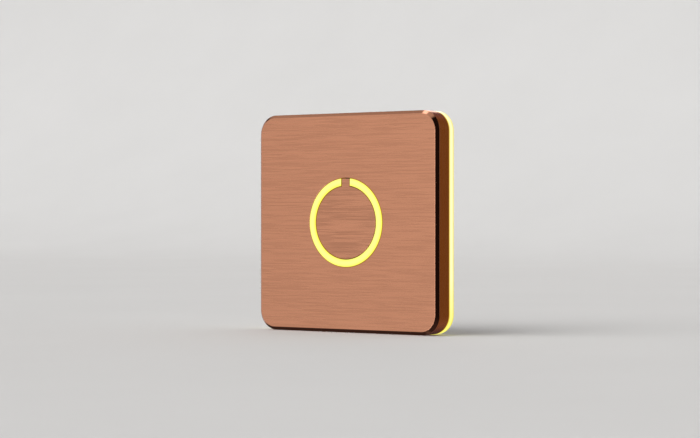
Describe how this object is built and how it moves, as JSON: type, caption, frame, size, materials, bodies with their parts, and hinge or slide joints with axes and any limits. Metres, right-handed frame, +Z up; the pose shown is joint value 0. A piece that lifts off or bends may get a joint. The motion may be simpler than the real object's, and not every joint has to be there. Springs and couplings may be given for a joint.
{
  "type": "doorbell push button",
  "caption": "Square surface-mounted doorbell push button: bevelled copper cover, round sprung button in a C-shaped ring of light, and a lit band against the wall.",
  "frame": {"origin": "middle of the back, on the wall", "axes": "+Y into the wall, so the front looks along -Y; +Z up; +X to the right seen from the front"},
  "size_m": [0.08, 0.0106, 0.08],
  "materials": {
    "brushed_copper": "fine brushing, left to right",
    "opal_light": "opal, lit warm yellow from inside",
    "black_moulding": "fine moulded grain",
    "seal_foam": "closed-cell foam",
    "board": "green solder mask",
    "screw_steel": "zinc plated",
    "spring_steel": "bright drawn wire",
    "switch_moulding": "moulded",
    "actuator_moulding": "moulded",
    "plated_steel": "tin plated",
    "terminal_moulding": "moulded grey",
    "chip_resin": "moulded resin",
    "capacitor_resin": "moulded resin with plated end strips",
    "resistor_body": "ceramic chip",
    "lamp_body": "white housing with a yellow window"
  },
  "bodies": {
    "housing": {"front_cover": "brushed_copper", "halo_diffuser": "opal_light", "base_tray": "black_moulding", "wall_seal": "seal_foam", "circuit_board": "board", "board_screws": "screw_steel", "ring_lens": "opal_light", "button_spring": "spring_steel", "button_carrier": "black_moulding", "carrier_screws": "screw_steel", "cover_screws": "screw_steel", "switch_housing": "switch_moulding", "switch_frame": "plated_steel", "switch_dome": "spring_steel", "switch_terminals": "plated_steel", "terminal_block": "terminal_moulding", "terminal_clamps": "plated_steel", "terminal_screws": "screw_steel", "bridge_rectifier": "chip_resin", "led_driver": "chip_resin", "smoothing_capacitor": "capacitor_resin", "resistor_01": "resistor_body", "resistor_02": "resistor_body", "resistor_03": "resistor_body", "resistor_04": "resistor_body", "ring_led_01": "lamp_body", "ring_led_02": "lamp_body", "ring_led_03": "lamp_body", "ring_led_04": "lamp_body", "ring_led_05": "lamp_body", "ring_led_06": "lamp_body", "ring_led_07": "lamp_body", "ring_led_08": "lamp_body", "halo_led_01": "lamp_body", "halo_led_02": "lamp_body", "halo_led_03": "lamp_body", "halo_led_04": "lamp_body", "halo_led_05": "lamp_body", "halo_led_06": "lamp_body", "halo_led_07": "lamp_body", "halo_led_08": "lamp_body", "halo_led_09": "lamp_body", "halo_led_10": "lamp_body", "halo_led_11": "lamp_body", "halo_led_12": "lamp_body", "halo_led_13": "lamp_body", "halo_led_14": "lamp_body", "halo_led_15": "lamp_body", "halo_led_16": "lamp_body"},
    "button": {"button_cap": "brushed_copper", "button_plunger": "black_moulding"},
    "actuator": {"switch_actuator": "actuator_moulding"}
  },
  "joints": [
    {"name": "button_press", "type": "slide", "parent": "housing", "child": "button", "axis": [0, 1, 0], "range_m": [0, 0.0006], "stiffness_N_per_m": 900, "springref_m": -0.0012, "deforming": ["button_spring"]},
    {"name": "actuator_press", "type": "slide", "parent": "housing", "child": "actuator", "axis": [0, 1, 0], "range_m": [0, 0.0006], "deforming": ["switch_dome"]}
  ],
  "couplings": [
    {"joint": "actuator_press", "follows": "button_press", "ratio": 1}
  ]
}
